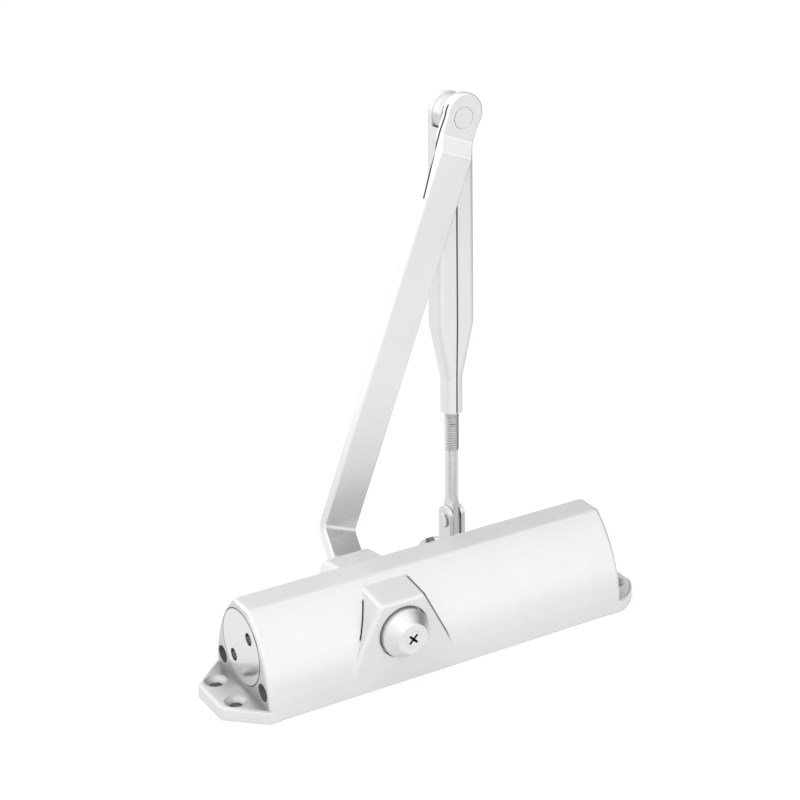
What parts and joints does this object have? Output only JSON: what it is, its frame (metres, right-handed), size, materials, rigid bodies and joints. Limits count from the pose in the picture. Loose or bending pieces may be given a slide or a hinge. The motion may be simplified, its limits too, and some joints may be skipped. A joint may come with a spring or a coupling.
{
  "type": "overhead door closer",
  "caption": "Overhead door closer: cast hydraulic body with a rack and pinion, end plugs and regulating screws, and a folding arm with an adjusting rod and shoe.",
  "frame": {"origin": "On the mounting face, at the middle of the rectangle of the four mounting holes.", "axes": "+X along the body, away from the end with the regulating screws. +Y along the pinion, from the cap to the arm. +Z away from the mounting face."},
  "size_m": [0.245, 0.1293, 0.2689],
  "materials": {
    "body_enamel": "smooth silver-white coating on a casting",
    "arm_enamel": "smooth silver coating on pressed steel",
    "bright_aluminium": "bright turned aluminium",
    "zinc_plate": "bright zinc plate",
    "machined_steel": "oiled machined steel",
    "spring_steel": "oiled spring steel",
    "bearing_bronze": "sintered bronze",
    "seal_rubber": "oil-proof rubber"
  },
  "bodies": {
    "body": {"housing": "body_enamel", "left_end_plug": "bright_aluminium", "right_end_plug": "bright_aluminium", "left_plug_seal": "seal_rubber", "right_plug_seal": "seal_rubber", "main_spring": "spring_steel", "spring_seat": "machined_steel", "front_bearing_cap": "zinc_plate", "rear_bearing_cap": "zinc_plate", "front_bearing": "bearing_bronze", "rear_bearing": "bearing_bronze", "front_shaft_seal": "seal_rubber", "rear_shaft_seal": "seal_rubber"},
    "sweep_screw": {"sweep_valve": "zinc_plate", "sweep_valve_seal": "seal_rubber"},
    "latch_screw": {"latch_valve": "zinc_plate", "latch_valve_seal": "seal_rubber"},
    "piston": {"piston": "machined_steel", "piston_check_ball": "machined_steel", "check_ball_retainer": "machined_steel"},
    "shaft_and_arm": {"pinion": "machined_steel", "pinion_cap": "arm_enamel", "cap_screw": "zinc_plate", "main_arm": "arm_enamel", "arm_washer": "zinc_plate", "arm_screw": "zinc_plate", "elbow_rivet": "zinc_plate", "elbow_spacer": "zinc_plate", "elbow_washer": "zinc_plate"},
    "forearm": {"forearm": "arm_enamel"},
    "rod": {"adjusting_rod": "zinc_plate"},
    "shoe": {"shoe": "arm_enamel", "shoe_rivet": "zinc_plate"}
  },
  "joints": [
    {"name": "pinion_turn", "type": "hinge", "parent": "body", "child": "shaft_and_arm", "pos_m": [-0.029, 0, 0.0285], "axis": [0, 1, 0], "range_deg": [-150, 0], "stiffness_Nm_per_rad": 4, "springref_deg": 17.19},
    {"name": "piston_slide", "type": "slide", "parent": "body", "child": "piston", "axis": [1, 0, 0], "range_m": [0, 0.0236], "deforming": ["main_spring"]},
    {"name": "sweep_screw_turn", "type": "hinge", "parent": "body", "child": "sweep_screw", "pos_m": [-0.093, -0.0217, 0.0138], "axis": [1, 0, 0], "range_deg": [-360, 360]},
    {"name": "latch_screw_turn", "type": "hinge", "parent": "body", "child": "latch_screw", "pos_m": [-0.093, 0.0217, 0.0138], "axis": [1, 0, 0], "range_deg": [-360, 360]},
    {"name": "elbow_turn", "type": "hinge", "parent": "shaft_and_arm", "child": "forearm", "pos_m": [0.05848, 0.06595, 0.25639], "axis": [0, 1, 0], "range_deg": [-160, 60]},
    {"name": "rod_turn", "type": "hinge", "parent": "forearm", "child": "rod", "pos_m": [0.05848, 0.06595, 0.08], "axis": [0, 0, 1], "range_deg": [-180, 180]},
    {"name": "shoe_turn", "type": "hinge", "parent": "rod", "child": "shoe", "pos_m": [0.05848, 0.06595, 0.02749], "axis": [1, 0, 0], "range_deg": [-90, 90]}
  ],
  "couplings": [
    {"joint": "piston_slide", "follows": "pinion_turn", "m_per_rad": -0.009}
  ]
}
